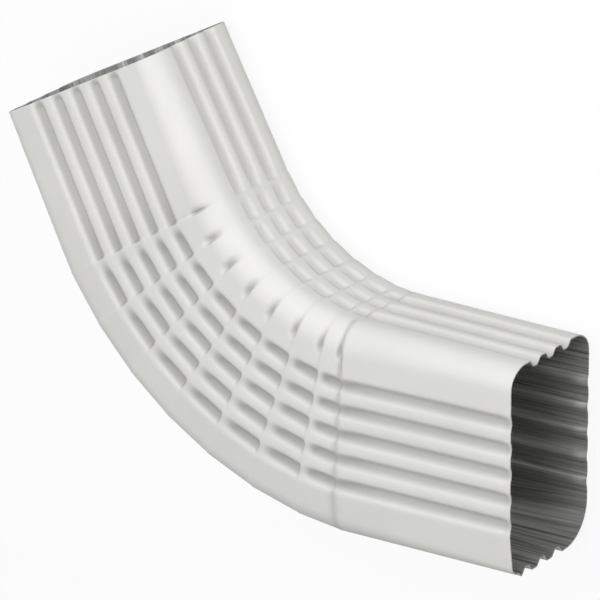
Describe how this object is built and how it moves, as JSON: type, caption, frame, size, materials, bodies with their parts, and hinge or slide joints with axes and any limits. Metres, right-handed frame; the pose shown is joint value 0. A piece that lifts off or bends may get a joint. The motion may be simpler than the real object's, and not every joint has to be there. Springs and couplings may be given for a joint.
{
  "type": "downspout elbow",
  "caption": "Corrugated rectangular sheet-metal downspout elbow, off-white painted outside and bare inside.",
  "frame": {"origin": "centre of the outlet opening, in the plane of its rim", "axes": "+X out of the outlet along its leg, +Y towards the throat, the short inner side of the bend, +Z across the width, up as the elbow lies on a wide side"},
  "size_m": [0.299, 0.2277, 0.0698],
  "materials": {
    "painted_sheet": "satin"
  },
  "bodies": {
    "root": {"downspout_elbow": "painted_sheet"}
  },
  "joints": []
}
